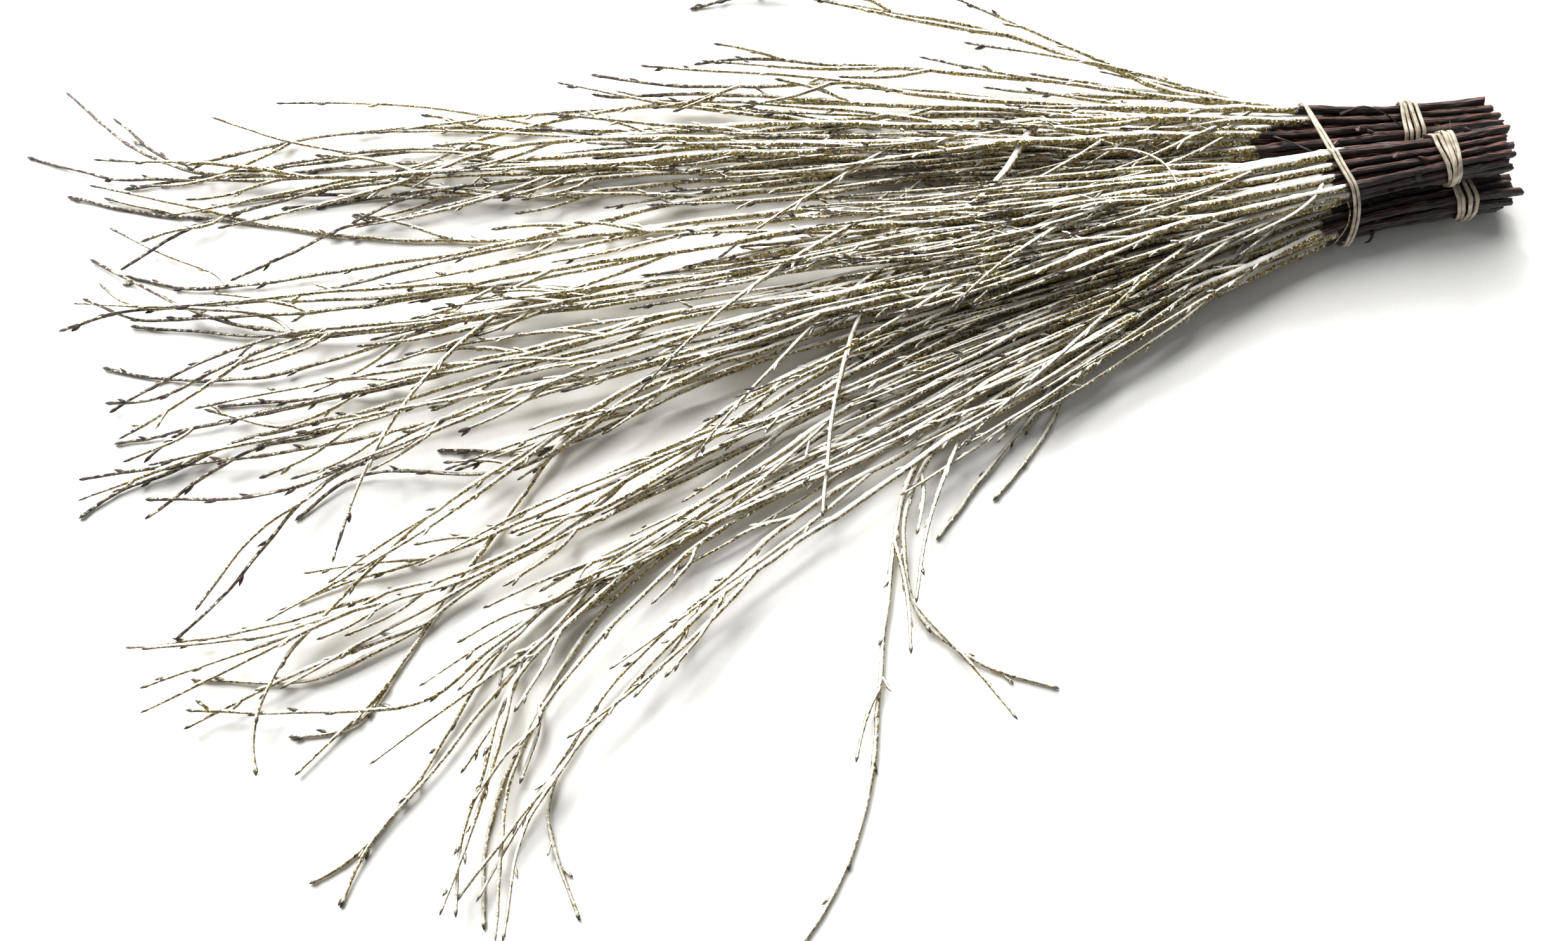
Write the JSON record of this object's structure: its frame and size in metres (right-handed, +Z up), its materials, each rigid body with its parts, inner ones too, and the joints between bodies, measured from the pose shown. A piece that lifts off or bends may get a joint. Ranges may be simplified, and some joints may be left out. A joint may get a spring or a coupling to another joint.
{
  "type": "bundle of twigs",
  "caption": "Fan-shaped bundle of frosted twigs lying flat, its dark cut ends tied with rubber bands.",
  "frame": {"origin": "bottom centre of the bounding box, on the surface that the bundle lies on", "axes": "+X along the bundle towards the cut ends, +Y across it to the side of the back bundle, +Z up"},
  "size_m": [0.6613, 0.4285, 0.0349],
  "materials": {
    "twig": "dark wrinkled bark at the cut ends, white and gold glitter frost on the rest",
    "rubber_band": "cream natural rubber, satin"
  },
  "bodies": {
    "root": {"twig_back_01": "twig", "twig_back_02": "twig", "twig_back_03": "twig", "twig_back_04": "twig", "twig_back_05": "twig", "twig_back_06": "twig", "twig_back_07": "twig", "twig_back_08": "twig", "twig_back_09": "twig", "twig_back_10": "twig", "twig_back_11": "twig", "twig_back_12": "twig", "twig_back_13": "twig", "twig_back_14": "twig", "twig_back_15": "twig", "twig_back_16": "twig", "twig_back_17": "twig", "twig_back_18": "twig", "twig_upper_01": "twig", "twig_upper_02": "twig", "twig_upper_03": "twig", "twig_upper_04": "twig", "twig_upper_05": "twig", "twig_upper_06": "twig", "twig_upper_07": "twig", "twig_upper_08": "twig", "twig_upper_09": "twig", "twig_upper_10": "twig", "twig_upper_11": "twig", "twig_upper_12": "twig", "twig_upper_13": "twig", "twig_upper_14": "twig", "twig_upper_15": "twig", "twig_upper_16": "twig", "twig_upper_17": "twig", "twig_upper_18": "twig", "twig_front_01": "twig", "twig_front_02": "twig", "twig_front_03": "twig", "twig_front_04": "twig", "twig_front_05": "twig", "twig_front_06": "twig", "twig_front_07": "twig", "twig_front_08": "twig", "twig_front_09": "twig", "twig_front_10": "twig", "twig_front_11": "twig", "twig_front_12": "twig", "twig_front_13": "twig", "twig_front_14": "twig", "twig_front_15": "twig", "twig_front_16": "twig", "twig_front_17": "twig", "twig_front_18": "twig", "twig_loose": "twig", "band_back": "rubber_band", "band_upper": "rubber_band", "band_front": "rubber_band", "band_big": "rubber_band"}
  },
  "joints": []
}
